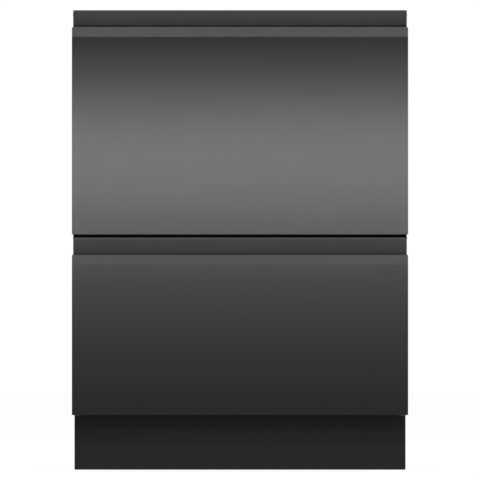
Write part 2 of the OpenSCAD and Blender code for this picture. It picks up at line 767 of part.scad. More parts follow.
module lid_links(b) {
    z = pin_z(b);
    y0 = pin_y[0] - 16;
    y1 = motor_y - lid_drop - 6;
    color("#8b8f92") both_sides() {
        difference() {
            box(link_x0, link_x0 + link_t, y0, y1, z - link_down, z + link_up);
            for (y = pin_y) translate([0, y, z])
                slot_yz(lid_pin_r + slot_gap, lid_drop, -lid_drop, link_x0 - 1, link_x0 + link_t + 1);
            // Lightening window
            box(link_x0 - 1, link_x0 + link_t + 1, pin_y[0] + 40, pin_y[1] - 30, z - link_down + 8, z);
        }
        rod_y(rod_r, y1 - 1, motor_y + 16, link_x0 + link_t / 2, z - 2);
    }
}

module lid_actuators() {
    color("#4a4d50") for (b = bays) both_sides() {
        z = pin_z(b);
        // Gear motor whose bore takes the link's rod
        difference() {
            box(link_x0 - 2, inner_x, motor_y, motor_y + 30, z - 14, z + 8);
            rod_y(rod_r + run_gap, motor_y - 1, motor_y + 24, link_x0 + link_t / 2, z - 2);
        }
        // Guides: upright slots keep the lid from moving forward or back
        for (y = pin_y) {
            difference() {
                box(guide_x0, guide_x0 + guide_t, y - 12, y + 12, z - link_down - 3.3, z + 4);
                translate([0, y, z]) slot_yz(lid_pin_r + slot_gap, 0, -lid_drop, guide_x0 - 1, guide_x0 + guide_t + 1);
                box(guide_x0 - 1, guide_x0 + guide_t + 1, y - lid_pin_r - slot_gap, y + lid_pin_r + slot_gap, z, z + 5);
            }
            for (s = [-1, 1]) box(guide_x0, inner_x, y + s * 12 - 1.5, y + s * 12 + 1.5, z - link_down - 3.3, z + 4);
            // Shelf that the link slides on
            box(link_x0 - 1, guide_x0 + 0.5, y - 12, y + 12, z - link_down - 3.3, z - link_down - run_gap);
        }
    }
}

// ---- Rails ----

rail_y0 = y_chassis + 4.5;
rail_screw_y = [for (k = [0.084, 0.462, 0.861]) y_tub0 + k * (y_tub1 - y_tub0)];

// A channel that opens towards the middle of the machine when open_in is true
module channel(x0, x1, z, h, open_in) {
    y1 = rail_y0 + rail_len;
    for (s = [-1, 1])
        box(x0, x1, rail_y0, y1, z + s * (h / 2 - rail_t / 2) - rail_t / 2, z + s * (h / 2 - rail_t / 2) + rail_t / 2);
    if (open_in) box(x1 - rail_t, x1, rail_y0, y1, z - h / 2, z + h / 2);
    else box(x0, x0 + rail_t, rail_y0, y1, z - h / 2, z + h / 2);
}

module outer_rails() {
    color("#b4b7ba") for (b = bays) both_sides()
        channel(inner_x - rail_w, inner_x, rail_z(b), rail_h, true);
}

// Balls in a line along a race, in their retainer strip
module ball_line(x, y0, y1, z) {
    n = 5;
    box(x - 1.6, x + 1.6, y0 - 6, y1 + 6, z - 0.5, z + 0.5);
    for (i = [0 : n - 1]) translate([x, y0 + (y1 - y0) * i / (n - 1), z]) sphere(ball_r);
}

module mid_rails(b) {
    z = rail_z(b);
    overlap = rail_len - travel / 2;
    color("#c2c5c8") both_sides() {
        channel(mid_x0, mid_x1, z, mid_h, true);
        for (s = [-1, 1]) {
            // Outer balls stay at the rear and inner balls at the front, where the members overlap
            ball_line(mid_x0 + 3.5, rail_y0 + rail_len - overlap + 10, rail_y0 + rail_len - 10,
                      z + s * (mid_h / 2 + ball_r + 0.05));
            ball_line(mid_x0 + 2.6, rail_y0 + 10, rail_y0 + overlap - 10,
                      z + s * (mid_h / 2 - rail_t - ball_r - 0.05));
        }
    }
}

module inner_rails(b) {
    color("#cfd2d4") both_sides() {
        difference() {
            channel(slide_x0, slide_x1, rail_z(b), slide_h, false);
            for (y = rail_screw_y) rod_x(2.6, slide_x0 - 1, slide_x0 + rail_t + 1, y, rail_z(b));
        }
        for (y = rail_screw_y) {
            rod_x(2.6, slide_x0, slide_x0 + rail_t, y, rail_z(b));
            rod_x(4.5, slide_x0 + rail_t - 0.2, slide_x0 + rail_t + 1.6, y, rail_z(b));
        }
    }
}

// ---- Chassis ----

module side_panel(s) {
    color("#7c8083") mirror([s < 0 ? 1 : 0, 0, 0]) difference() {
        union() {
            box(inner_x, chassis_x, y_chassis, y_back, side_z0, top_z);
            // Front hem, and the flange along the bottom
            box(inner_x - sheet, inner_x + 0.1, y_chassis, y_chassis + 4, side_z0, top_z - sheet);
            box(tray_x - 6, chassis_x, y_chassis, y_back, side_z0, side_z0 + sheet);
        }
        // Holes for fixing to the cabinet
        for (z = side_hole_z) rod_x(tab_hole_r, inner_x - 3, chassis_x + 1, side_hole_y, z);
    }
}

side_hole_y = y_chassis + 12;
side_hole_z = [side_z0 + 90, top_z - 100];

module top_panel() {
    flange = 6;
    color("#8a8e91") difference() {
        union() {
            box(-inner_x, inner_x, y_chassis + 1, y_back, top_z - sheet, top_z);
            both_sides() box(inner_x - sheet, inner_x, y_chassis + 5, y_back - sheet, top_z - flange, top_z);
            // Tabs that are screwed to the worktop
            both_sides() {
                box(tab_x - 14, tab_x + 14, y_chassis + 1, y_chassis + 1 + sheet, top_z - 1, total_h);
                box(tab_x - 14, tab_x + 14, y_chassis + 1, y_chassis + 27, total_h - sheet, total_h);
            }
        }
        both_sides() {
            rod_z(tab_hole_r, total_h - 2 * sheet, total_h + 1, tab_x, y_chassis + 16);
            // Way for the screwdriver from below
            rod_z(8, top_z - 2 * sheet, top_z + 0.5, tab_x, y_chassis + 16);
        }
        // Vents at the rear
        for (i = [-8 : 8]) box(i * 20 - 3, i * 20 + 3, y_back - 60, y_back - 30, top_z - 2 * sheet, top_z + 1);
    }
}

module back_panel() {
    z0 = side_z0 + sheet;
    color("#85898c") {
        box(-inner_x, inner_x, y_back - sheet, y_back, z0, top_z - sheet);
        // Pressed stiffeners
        for (x = [-200, -100, 0, 100, 200])
            box(x - 12, x + 12, y_back - 0.2, y_back + 1.2, z0 + 60, top_z - 60);
        // Flange at the foot, behind the tray
        box(-inner_x, inner_x, y_back - 14, y_back, z0, z0 + sheet);
    }
}

module brace(y0, z1) {
    box(-inner_x, inner_x, y0, y0 + brace_d, z1 - sheet, z1);
    for (y = [y0, y0 + brace_d - sheet]) box(-inner_x, inner_x, y, y + sheet, z1 - brace_h, z1);
    both_sides() box(inner_x - sheet, inner_x, y0, y0 + brace_d, z1 - brace_h, z1);
}

brace_z = upper[0] - 1;

module cross_braces() {
    color("#1b1c1d") {
        brace(y_chassis + 5, brace_z);
        brace(y_tub1 - 10, brace_z);
    }
}

module edge_seals() {
    y1 = y_chassis;
    y0 = y_liner + liner_t + run_gap;
    color("#161617") {
        both_sides() box(inner_x - sheet - 0.05, chassis_x - 0.2, y0, y1, side_z0 + 4, top_z - 4);
        // Seal that closes the gap between the drawers
        box(-inner_x + sheet, inner_x - sheet, y_chassis - 1.5, y_chassis + 5, brace_z - brace_h, brace_z);
    }
}

module base_tray() {
    color("#5b5f62") difference() {
        union() {
            difference() {
                box(-tray_x, tray_x, tray_y0, tray_y1, tray_z, side_z0);
                box(-tray_x + sheet, tray_x - sheet, tray_y0 + sheet, tray_y1 - sheet, tray_z + sheet, side_z0 + 1);
            }
            // Bosses that the feet screw into, each on a doubling plate
            both_sides() for (y = foot_y) {
                rod_z(foot_stem_r + 6, boss_z0, tray_z + 1, foot_x, y);
                rod_z(foot_stem_r + 18, tray_z - 3, tray_z + 0.5, foot_x, y);
            }
        }
        both_sides() for (y = foot_y) rod_z(foot_stem_r + fit_gap, boss_z0 - 1, tray_z + 2, foot_x, y);
        rod_y(port_r + 0.5, tray_y1 - 5, tray_y1 + 1, port_x, port_z);
        rod_y(spigot_r + 0.5, tray_y1 - 5, tray_y1 + 1, spigot_x, port_z);
        rod_y(7.5, tray_y1 - 5, tray_y1 + 1, gland_x, port_z);
    }
}

module kick_strip() {
    y0 = y_face + kick_back;
    x = half_w - kick_inset;
    color("#232425") {
        box(-x, x, y0, y0 + skin, 1, kick_h - 1.2);
        box(-x, x, y0, tray_y0, kick_h - 1.2 - skin, kick_h - 1.2);
        box(-x, x, y0, y0 + 10, 1, 1 + skin);
        both_sides() box(x - skin, x, y0, y0 + 10, 1, kick_h - 1.2);
        // Blocks that space it off the tray
        both_sides() for (x = [foot_x - 170, foot_x - 60])
            box(x - 13, x + 13, y0 + 0.5, tray_y0, tray_z + 6, kick_h - 14);
    }
}

module foot(sx, y) {
    color("#2e3032") translate([sx * foot_x, y, 0]) {
        cylinder(r = 22, h = 5);
        cylinder(r = 15, h = 8);
        translate([0, 0, 7]) cylinder(r = 12, h = boss_z0 - 8, $fn = 6);
        cylinder(r = foot_stem_r, h = boss_z0 + foot_travel + 14);
    }
}

module inlet_valve() {
    color("#e9eaea") difference() {
        union() {
            box(port_x - 20, port_x + 20, tray_y1 - 48, tray_y1 - sheet - 4, tray_z + sheet, port_z + 17);
            rod_y(port_r, tray_y1 - 8, y_end, port_x, port_z);
            rod_y(port_r + 3, tray_y1 - 6, tray_y1 - sheet, port_x, port_z);
            rod_y(port_r + 3, tray_y1, tray_y1 + 3, port_x, port_z);
            // Two solenoid coils
            for (dx = [-11, 11]) rod_y(9, tray_y1 - 82, tray_y1 - 47, port_x + dx, port_z);
        }
        rod_y(8, y_end - 22, y_end + 1, port_x, port_z);
    }
}

module drain_outlet() {
    color("#35383a") difference() {
        union() {
            rod_y(spigot_r, tray_y1 - 30, y_end, spigot_x, port_z);
            rod_y(spigot_r + 5, tray_y1 - sheet - 4, tray_y1 - sheet, spigot_x, port_z);
            rod_y(spigot_r + 5, tray_y1, tray_y1 + 3, spigot_x, port_z);
        }
        rod_y(6.5, y_end - 40, y_end + 1, spigot_x, port_z);
    }
}

module cable_gland() {
    color("#1d1e1f") difference() {
        union() {
            rod_y(7, tray_y1 - sheet - 6, tray_y1 + gland_out, gland_x, port_z);
            translate([gland_x, tray_y1, port_z]) rotate([-90, 0, 0]) cylinder(r = gland_r, h = 6, $fn = 6);
            translate([gland_x, tray_y1 - sheet - 5, port_z]) rotate([-90, 0, 0]) cylinder(r = gland_r, h = 5, $fn = 6);
        }
        rod_y(cable_r, tray_y1 - gland_out, tray_y1 + gland_out + 4, gland_x, port_z);
    }
}

module chassis_screws() {
    color("#c8cacc") {
        // Sides to braces, tray flange and top
        both_sides() for (y = [y_chassis + screw_in, y_tub1 + 8]) for (z = [brace_z - brace_h / 2, top_z - 4])
            rod_x(screw_r, chassis_x, chassis_x + screw_head, y, z);
        // Back panel
        for (k = [-1, -0.54, 0.54, 1]) for (z = [side_z0 + screw_up, top_z - screw_up])
            rod_y(screw_r, y_back, y_back + screw_head, k * (inner_x - 16), z);
    }
}

side_panel(-1);  // left_side_panel
side_panel(1);  // right_side_panel
top_panel();
back_panel();
base_tray();
cross_braces();
kick_strip();
edge_seals();
outer_rails();
lid_actuators();
inlet_valve();
drain_outlet();
cable_gland();
foot(-1, foot_y[0]);  // front_left_foot
foot(1, foot_y[0]);  // front_right_foot
foot(-1, foot_y[1]);  // rear_left_foot
foot(1, foot_y[1]);  // rear_right_foot
chassis_screws();

front_panel(upper);  // upper_front_panel
handle_strip(upper);  // upper_handle_strip
front_liner(upper);  // upper_front_liner
controls(upper);  // upper_controls
tub(upper);  // upper_tub
rack(upper);  // upper_rack
tine_row(upper);  // upper_tine_row
cup_rack(upper, -1);  // upper_left_cup_rack
cup_rack(upper, 1);  // upper_right_cup_rack
spray_arm(upper);  // upper_spray_arm
filter_plate(upper);  // upper_filter_plate
pump_motor(upper);  // upper_pump_motor
impeller(upper);  // upper_impeller
dispenser(upper);  // upper_dispenser
dispenser_lid(upper);  // upper_dispenser_lid
rinse_cap(upper);  // upper_rinse_cap
lid(upper);  // upper_lid
lid_seal(upper);  // upper_lid_seal
lid_links(upper);  // upper_lid_links
mid_rails(upper);  // upper_mid_rails
inner_rails(upper);  // upper_inner_rails

front_panel(lower);  // lower_front_panel
handle_strip(lower);  // lower_handle_strip
front_liner(lower);  // lower_front_liner
controls(lower);  // lower_controls
tub(lower);  // lower_tub
rack(lower);  // lower_rack
tine_row(lower);  // lower_tine_row
cup_rack(lower, -1);  // lower_left_cup_rack
cutlery_basket(lower);  // lower_cutlery_basket
spray_arm(lower);  // lower_spray_arm
filter_plate(lower);  // lower_filter_plate
pump_motor(lower);  // lower_pump_motor
impeller(lower);  // lower_impeller
dispenser(lower);  // lower_dispenser
dispenser_lid(lower);  // lower_dispenser_lid
rinse_cap(lower);  // lower_rinse_cap
lid(lower);  // lower_lid
lid_seal(lower);  // lower_lid_seal
lid_links(lower);  // lower_lid_links
mid_rails(lower);  // lower_mid_rails
inner_rails(lower);  // lower_inner_rails
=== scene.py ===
import math

import bmesh
import bpy
from mathutils import Matrix, Vector


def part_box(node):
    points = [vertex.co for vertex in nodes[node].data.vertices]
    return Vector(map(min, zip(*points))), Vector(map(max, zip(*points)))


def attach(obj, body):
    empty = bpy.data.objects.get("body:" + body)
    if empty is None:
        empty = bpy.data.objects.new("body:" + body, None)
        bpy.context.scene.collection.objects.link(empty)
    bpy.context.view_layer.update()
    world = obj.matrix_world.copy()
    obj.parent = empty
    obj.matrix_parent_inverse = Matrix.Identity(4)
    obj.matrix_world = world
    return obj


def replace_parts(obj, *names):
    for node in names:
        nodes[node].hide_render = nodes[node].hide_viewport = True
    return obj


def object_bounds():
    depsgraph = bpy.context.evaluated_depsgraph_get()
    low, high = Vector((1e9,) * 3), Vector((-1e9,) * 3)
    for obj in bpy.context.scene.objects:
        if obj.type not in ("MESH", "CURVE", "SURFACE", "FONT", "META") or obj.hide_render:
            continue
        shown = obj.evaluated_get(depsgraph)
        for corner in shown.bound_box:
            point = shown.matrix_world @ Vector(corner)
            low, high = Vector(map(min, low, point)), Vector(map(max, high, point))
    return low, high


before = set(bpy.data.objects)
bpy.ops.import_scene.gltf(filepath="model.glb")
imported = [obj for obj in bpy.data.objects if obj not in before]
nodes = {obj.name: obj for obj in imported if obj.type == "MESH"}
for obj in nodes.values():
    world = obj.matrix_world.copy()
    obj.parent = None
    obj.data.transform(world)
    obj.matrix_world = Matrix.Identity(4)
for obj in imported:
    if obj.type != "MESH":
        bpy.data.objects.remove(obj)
cad_low, cad_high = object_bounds()

# ---- Studio ----
# A level camera with a long lens looks squarely at the fronts, on a white ground. Two long strip
# lamps give the steel its soft band of light. Lengths are in metres and powers in watts.

photo_span = 0.8550  # across the photograph's frame, at the fronts
view_height = 0.4102
lens = 1000
sensor = 36
front_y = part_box("upper_front_panel")[0][1]
camera_data = bpy.data.cameras.new("camera")
camera_data.lens = lens
camera_data.sensor_width = sensor
camera_data.clip_end = 200
camera = bpy.data.objects.new("camera", camera_data)
camera.location = (0, front_y - photo_span * lens / sensor, view_height)
camera.rotation_euler = (math.pi / 2, 0, 0)
bpy.context.scene.collection.objects.link(camera)
bpy.context.scene.camera = camera
bpy.context.scene.view_settings.view_transform = "Standard"


def strip_lamp(name, place, aim, width, height, power):
    """A rectangular lamp that faces the point it is aimed at."""
    data = bpy.data.lights.new(name, "AREA")
    data.shape = "RECTANGLE"
    data.size = width
    data.size_y = height
    data.energy = power
    lamp = bpy.data.objects.new(name, data)
    lamp.location = place
    lamp.rotation_euler = (Vector(aim) - Vector(place)).to_track_quat("-Z", "Y").to_euler()
    lamp.visible_camera = False
    bpy.context.scene.collection.objects.link(lamp)


strip_lamp("near_strip", (0, front_y - 1.0, 0.563), (0, 0, 0.572), 2.6, 0.10, 3.05)
strip_lamp("far_strip", (0, front_y - 2.5, 0.400), (0, 0, 0.400), 5.0, 0.30, 2.3)
strip_lamp("top_box", (0, 0.5, 2.8), (0, 0.2, 0.3), 2.0, 1.2, 22)
strip_lamp("left_box", (-2.6, -0.6, 1.6), (0, 0, 0.4), 1.6, 1.6, 14)
strip_lamp("right_box", (2.6, 0.6, 1.6), (0, 0, 0.4), 1.6, 1.6, 14)
strip_lamp("rear_box", (0, 2.8, 1.8), (0, 0, 0.4), 2.2, 1.6, 16)


class NodeGraph:
    """A graph of shader nodes, made and joined by short calls."""

    def __init__(self, tree):
        self.tree = tree

    def node(self, kind, **settings):
        """Makes a node. A setting is one of its inputs, or else one of its options."""
        made = self.tree.nodes.new("ShaderNode" + kind)
        for key, value in settings.items():
            if key in made.inputs:
                made.inputs[key].default_value = value
            else:
                setattr(made, key, value)
        return made

    def join(self, output, socket):
        self.tree.links.new(output, socket)

    def maths(self, operation, output, other):
        """Works out a value from an output and a second output, or a number."""
        made = self.node("Math", operation=operation)
        self.join(output, made.inputs[0])
        if isinstance(other, float):
            made.inputs[1].default_value = other
        else:
            self.join(other, made.inputs[1])
        return made.outputs[0]

    def span(self, value, low, high, from_low=0.3, from_high=0.7, curve="LINEAR"):
        """Spreads a value over the range from low to high."""
        limits = {"From Min": from_low, "From Max": from_high, "To Min": low, "To Max": high}
        ranged = self.node("MapRange", interpolation_type=curve, **limits)
        self.join(value, ranged.inputs["Value"])
        return ranged.outputs[0]

    def mix(self, amount, first, second):
        """Goes from the first shader to the second as the amount rises."""
        mixed = self.node("MixShader")
        for output, socket in zip((amount, first, second), mixed.inputs):
            self.join(output, socket)
        return mixed.outputs[0]


def studio_world():
    """A pale room with a dim side, in front of a background that the camera sees as white."""
    world = bpy.data.worlds.new("studio")
    bpy.context.scene.world = world
    world.use_nodes = True
    world.node_tree.nodes.clear()
    room = NodeGraph(world.node_tree)
    ray = room.node("LightPath").outputs
    toward = room.node("SeparateXYZ")
    room.join(room.node("TexCoord").outputs["Generated"], toward.inputs[0])

    def fade(value, start, end, low=0.0, high=1.0):
        return room.span(value, low, high, start, end, "SMOOTHSTEP")

    # The dim side of the room lies in front of the fronts, up to about 25 degrees above them
    dim_side, bright_side = 0.05, 0.67
    beside = fade(toward.outputs["Y"], -0.85, -0.35)
    above = fade(toward.outputs["Z"], 0.45, 0.85)
    brightness = fade(room.maths("MAXIMUM", beside, above), 0.0, 1.0, dim_side, bright_side)
    mirrored = room.node("Background", Color=(1, 1, 1, 1))
    room.join(brightness, mirrored.inputs["Strength"])
    soft = room.node("Background", Color=(0.96, 0.98, 1.0, 1), Strength=0.62)
    white = room.node("Background", Color=(1, 1, 1, 1), Strength=1.0)
    lit = room.mix(ray["Is Glossy Ray"], soft.outputs[0], mirrored.outputs[0])
    # Camera and transmitted rays see the white ground, and so do glossy rays that go behind the object
    behind = room.maths("MULTIPLY", ray["Is Glossy Ray"], fade(toward.outputs["Y"], 0.0, 0.4))
    seen = room.maths("MAXIMUM", ray["Is Camera Ray"], ray["Is Transmission Ray"])
    seen = room.maths("MAXIMUM", seen, behind)
    room.join(room.mix(seen, lit, white.outputs[0]), room.node("OutputWorld").inputs[0])


studio_world()


def studio_floor():
    """A white ground that keeps the object's shadow."""
    reach, drop = 12, 0.0005
    glow_strength, glow_share = 1.015, 0.93
    cloth_near, cloth_far, cloth_glare, floor_glare = -0.9, 0.3, 0.18, 0.9
    corners = [(-reach, -reach, 0), (reach, -reach, 0), (reach, reach, 0), (-reach, reach, 0)]
    mesh = bpy.data.meshes.new("floor")
    mesh.from_pydata(corners, [], [(0, 1, 2, 3)])
    floor = bpy.data.objects.new("floor", mesh)
    floor.location.z = -drop
    bpy.context.scene.collection.objects.link(floor)
    paint = bpy.data.materials.new("floor_white")
    paint.use_nodes = True
    paint.node_tree.nodes.clear()
    ground = NodeGraph(paint.node_tree)
    ray = ground.node("LightPath").outputs
    shade = ground.node("BsdfDiffuse", Color=(0.9, 0.9, 0.9, 1))
    glow = ground.node("Emission", Strength=glow_strength)
    seen = ground.maths("MAXIMUM", ray["Is Camera Ray"], ray["Is Transmission Ray"])
    white = ground.mix(ground.maths("MULTIPLY", seen, glow_share), shade.outputs[0], glow.outputs[0])
    # A dark cloth on the floor in front of the object keeps its glare off the steel
    place = ground.node("SeparateXYZ")
    ground.join(ground.node("NewGeometry").outputs["Position"], place.inputs[0])
    glare = ground.span(place.outputs["Y"], cloth_glare, floor_glare, cloth_near, cloth_far)
    cloth = ground.node("Emission")
    ground.join(glare, cloth.inputs["Strength"])
    finish = ground.mix(ray["Is Glossy Ray"], white, cloth.outputs[0])
    ground.join(finish, ground.node("OutputMaterial").inputs[0])
    mesh.materials.append(paint)


studio_floor()

# ---- Drawer fronts ----
# Each front is one sheet of dark stainless steel, brushed from side to side, with a bevel along its top.
# The sheet is folded back at its sides and bottom, and its edges are slightly rounded by the folding.


class Finish(NodeGraph):
    """The finish of one material, built from procedural textures."""

    def __init__(self, name, metal, rough, **shader):
        self.material = bpy.data.materials.new(name)
        self.material.use_nodes = True
        super().__init__(self.material.node_tree)
        self.shader = self.tree.nodes["Principled BSDF"]
        self.shader.inputs["Metallic"].default_value = metal
        self.shader.inputs["Roughness"].default_value = rough
        for socket, value in shader.items():
            self.shader.inputs[socket.replace("_", " ")].default_value = value
        self.relief = None

    def place(self):
        """The point on the piece, in metres."""
        return self.node("TexCoord").outputs["Object"]

    def height(self):
        """The height above the floor at rest, in metres."""
        split = self.node("SeparateXYZ")
        self.join(self.place(), split.inputs[0])
        return split.outputs["Z"]

    def noise(self, scale, detail=3.0, rough=0.5):
        """Cloudy noise, with one scale or with a scale for each axis."""
        stretch = self.node("Mapping", Scale=scale if isinstance(scale, tuple) else (scale,) * 3)
        self.join(self.place(), stretch.inputs[0])
        cloud = self.node("TexNoise", Scale=1.0, Detail=detail, Roughness=rough)
        self.join(stretch.outputs[0], cloud.inputs["Vector"])
        return cloud.outputs["Fac"]

    def shades(self, value, dark, light, low=0.3, high=0.7):
        """Turns a value into a colour between two shades."""
        ramp = self.node("ValToRGB")
        first, last = ramp.color_ramp.elements
        first.position, last.position = low, high
        first.color, last.color = (*dark, 1), (*light, 1)
        self.join(value, ramp.inputs[0])
        return ramp.outputs[0]

    def by_height(self, colour, stops):
        """Scales a colour by height, for painted light and shade: stops lists (height, factor), with
        factors up to 2.
        """
        ramp = self.node("ValToRGB")
        beads = ramp.color_ramp.elements
        low, high = stops[0][0], stops[-1][0]
        for height, _ in stops[1:-1]:
            beads.new((height - low) / (high - low))
        for bead, (_, factor) in zip(beads, stops):
            bead.color = (factor / 2, factor / 2, factor / 2, 1)
        self.join(self.span(self.height(), 0.0, 1.0, low, high), ramp.inputs[0])
        scaled = self.node("VectorMath", operation="SCALE")
        self.join(colour, scaled.inputs[0])
        self.join(self.maths("MULTIPLY", ramp.outputs[0], 2.0), scaled.inputs["Scale"])
        return scaled.outputs[0]

    def colour(self, output):
        self.join(output, self.shader.inputs["Base Color"])

    def rough(self, output):
        self.join(output, self.shader.inputs["Roughness"])

    def bump(self, value, strength, distance):
        """Adds a relief to the surface, on top of any that it has."""
        made = self.node("Bump", Strength=strength, Distance=distance)
        self.join(value, made.inputs["Height"])
        if self.relief:
            self.join(self.relief, made.inputs["Normal"])
        self.relief = made.outputs[0]
        self.join(self.relief, self.shader.inputs["Normal"])


def shade_of(tone, factor):
    return tuple(min(1, c * factor) for c in tone)


def brushed(name, tone, rough, painted_light):
    """Steel brushed along X: long faint streaks, and a highlight that spreads up and down. Its colour
    carries painted light and shade by height.
    """
    steel = Finish(name, 1.0, rough, Anisotropic=0.55, Anisotropic_Rotation=0.25)
    streaks = steel.noise((3.0, 3.0, 900), detail=4, rough=0.65)
    shades = steel.shades(streaks, shade_of(tone, 0.93), shade_of(tone, 1.07))
    # The height stops paint light and shade into the colour
    steel.colour(steel.by_height(shades, painted_light))
    steel.bump(streaks, 0.05, 0.0002)
    around = steel.node("Tangent", direction_type="RADIAL", axis="Z")
    steel.join(around.outputs[0], steel.shader.inputs["Tangent"])
    return steel.material


def soften(node, width):
    """Rounds a piece's sharp edges, as folding or moulding leaves them."""
    # The CAD mesh has its vertices split at sharp edges, so they are joined first
    nodes[node].modifiers.new("joined_edges", "WELD").merge_threshold = 0.000005
    edge = nodes[node].modifiers.new("soft_edges", "BEVEL")
    edge.width = width
    edge.segments = 2
    edge.limit_method = "ANGLE"
    edge.angle_limit = math.radians(35)
    edge.harden_normals = True


def dress(node, material, edge_width=None):
    """Gives a carried-over CAD piece its finish, and its rounded edges where a width is given."""
    mesh = nodes[node].data
    mesh.materials.clear()
    mesh.materials.append(material)
    if edge_width:
        soften(node, edge_width)


# The dark tint comes from a thin oxide film. Painted shade makes it darker towards the upper front's top
# and the lower front's bottom, and a painted highlight makes it lighter on the bevels.
front_tone = (0.1440, 0.1434, 0.1420)
front_painted_light = {
    "upper": [(0.42, 1.04), (0.53, 0.92), (0.65, 0.94), (0.70, 0.85), (0.772, 0.63), (0.7725, 1.05),
              (0.79, 0.96)],
    "lower": [(0.10, 0.61), (0.22, 0.80), (0.30, 0.88), (0.34, 0.89), (0.367, 0.95), (0.3675, 1.03)],
}
for side, painted_light in front_painted_light.items():
    dress(side + "_front_panel", brushed(side + "_front_steel", front_tone, 0.238, painted_light), 0.0005)

# ---- Handle strips ----
# The strip above each front is set back behind the finger recess, and is the recess's back wall too.
# It is bent from the same dark steel. Painted shade darkens its lower part, where the lip in front keeps
# the light off, and a painted highlight runs along the upper strip's foot and the lower strip's top edge.

# Each strip has its grey and its painted light and shade by height
strip_painted_light = {
    "upper": (0.158, [(0.790, 1.5), (0.794, 0.67), (0.798, 0.63), (0.805, 0.78), (0.820, 1.0)]),
    "lower": (0.088, [(0.386, 0.55), (0.388, 0.76), (0.400, 0.88), (0.410, 0.95), (0.4145, 1.5)]),
}
for side, (grey, painted_light) in strip_painted_light.items():
    strip_tone = (grey, grey, grey * 0.99)
    dress(side + "_handle_strip", brushed(side + "_strip_steel", strip_tone, 0.28, painted_light), 0.0004)

# ---- Toe kick ----
# A dark steel strip closes the space under the lower drawer, set back under its front.
# A thin lip on its lower edge closes it against the floor.

kick_tone = (0.0715, 0.0713, 0.0705)
# Painted shade by height: darkest just under the lower front's overhang, darker also at the foot, and a
# painted highlight on the top edge
kick_painted_shade = [(0.0, 0.70), (0.03, 0.84), (0.04, 0.84), (0.065, 0.71), (0.09, 0.67), (0.097, 0.87)]
kick_steel = brushed("dark_kick_steel", kick_tone, 0.30, kick_painted_shade)
dress("kick_strip", kick_steel, 0.0004)


def skin(bm, rings, closed=False):
    """Joins rings of points by faces. A closed form runs back to its first ring, and any other gets
    a face over each end. A ring of one point is a tip."""
    following = rings[1:] + rings[:1] if closed else rings[1:]
    for a, b in zip(rings, following):
        sides = max(len(a), len(b))
        for k in range(sides):
            n = (k + 1) % sides
            corners = (a[k % len(a)], a[n % len(a)], b[n % len(b)], b[k % len(b)])
            bm.faces.new(list(dict.fromkeys(corners)))
    ends = [] if closed else [rings[0], rings[-1]]
    for ring in ends:
        if len(ring) > 1:
            bm.faces.new(ring)


def piece(name, bm, material, body, angle=35):
    """Turns a bmesh into a piece that rides on a body. Edges sharper than the angle stay sharp."""
    mesh = bpy.data.meshes.new(name)
    bmesh.ops.recalc_face_normals(bm, faces=bm.faces)
    bm.to_mesh(mesh)
    bm.free()
    mesh.materials.append(material)
    made = bpy.data.objects.new(name, mesh)
    bpy.context.scene.collection.objects.link(made)
    mesh.shade_smooth()
    mesh.set_sharp_from_angle(angle=math.radians(angle))
    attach(made, body)
    return made


kick_low, kick_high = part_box("kick_strip")
lip_inset = 0.0005
lip_outline = [(0.0, 0.0001), (0.0, 0.0009), (0.0012, 0.0010), (0.0012, 0.0050), (0.0020, 0.0050),
               (0.0022, 0.0012), (0.0030, 0.0001)]  # (depth from the strip's face, height)
lip = bmesh.new()
lip_ends = [[lip.verts.new((x, kick_low[1] + depth, z)) for depth, z in lip_outline]
            for x in (kick_low[0] + lip_inset, kick_high[0] - lip_inset)]
skin(lip, lip_ends)
piece("kick_sealing_lip", lip, kick_steel, "chassis")

# ---- Side, top and back panels ----
# Galvanised sheet steel, folded and screwed together, with ribs pressed into it against drumming.
# The zinc shows its crystal pattern, and the presses leave shallow round clinch points along the folds.


def galvanised(name, tone, rough):
    """Zinc coated sheet, whose crystals differ a little in shade and gloss."""
    sheet = Finish(name, 0.9, rough)
    crystals = sheet.node("TexVoronoi", Scale=110.0)
    sheet.join(sheet.place(), crystals.inputs["Vector"])
    split = sheet.node("SeparateColor")
    sheet.join(crystals.outputs["Color"], split.inputs[0])
    sheet.colour(sheet.shades(split.outputs[0], shade_of(tone, 0.95), shade_of(tone, 1.04), 0.0, 1.0))
    sheet.rough(sheet.span(split.outputs[1], rough - 0.03, rough + 0.05, 0.0, 1.0))
    sheet.bump(sheet.noise(11, detail=2), 0.05, 0.001)
    return sheet.material


zinc_sheet = galvanised("zinc_sheet", (0.50, 0.51, 0.52), 0.42)
for node in ("left_side_panel", "right_side_panel", "top_panel", "back_panel"):
    dress(node, zinc_sheet)


def turned(bm, centre, direction, outline, sides, closed=False):
    """A form turned on an axis: outline lists (distance along the axis, radius), and a radius may be
    a function of the angle. The outline of a closed form ends where it starts, as a ring's does."""
    turn = Vector((0, 0, 1)).rotation_difference(Vector(direction)).to_matrix().to_4x4()
    place = Matrix.Translation(centre) @ turn
    angles = [2 * math.pi * k / sides for k in range(sides)]
    rings = []
    for along, radius in outline:
        if radius == 0:
            rings.append([bm.verts.new(place @ Vector((0, 0, along)))])
            continue
        reaches = [radius(a) if callable(radius) else radius for a in angles]
        rings.append([bm.verts.new(place @ Vector((reach * math.cos(a), reach * math.sin(a), along)))
                      for reach, a in zip(reaches, angles)])
    skin(bm, rings, closed)


def pressed_rib(bm, start, end, out, width, proud):
    """A rib pressed out of a sheet: a long dome with round ends, on the side that out points to."""
    start, end, out = Vector(start), Vector(end), Vector(out)
    along = (end - start).normalized()
    across = along.cross(out)
    sides = 24
    rings = []
    for spread, lift in ((1.0, 0.0), (0.8, 0.35), (0.55, 0.8), (0.3, 1.0)):
        radius = spread * width / 2
        ring = []
        for a in [2 * math.pi * k / sides for k in range(sides)]:
            middle = start if math.cos(a) < 0 else end
            reach = across * (math.sin(a) * radius) + along * (math.cos(a) * radius)
            ring.append(bm.verts.new(middle + reach + out * (lift * proud)))
        rings.append(ring)
    skin(bm, rings)


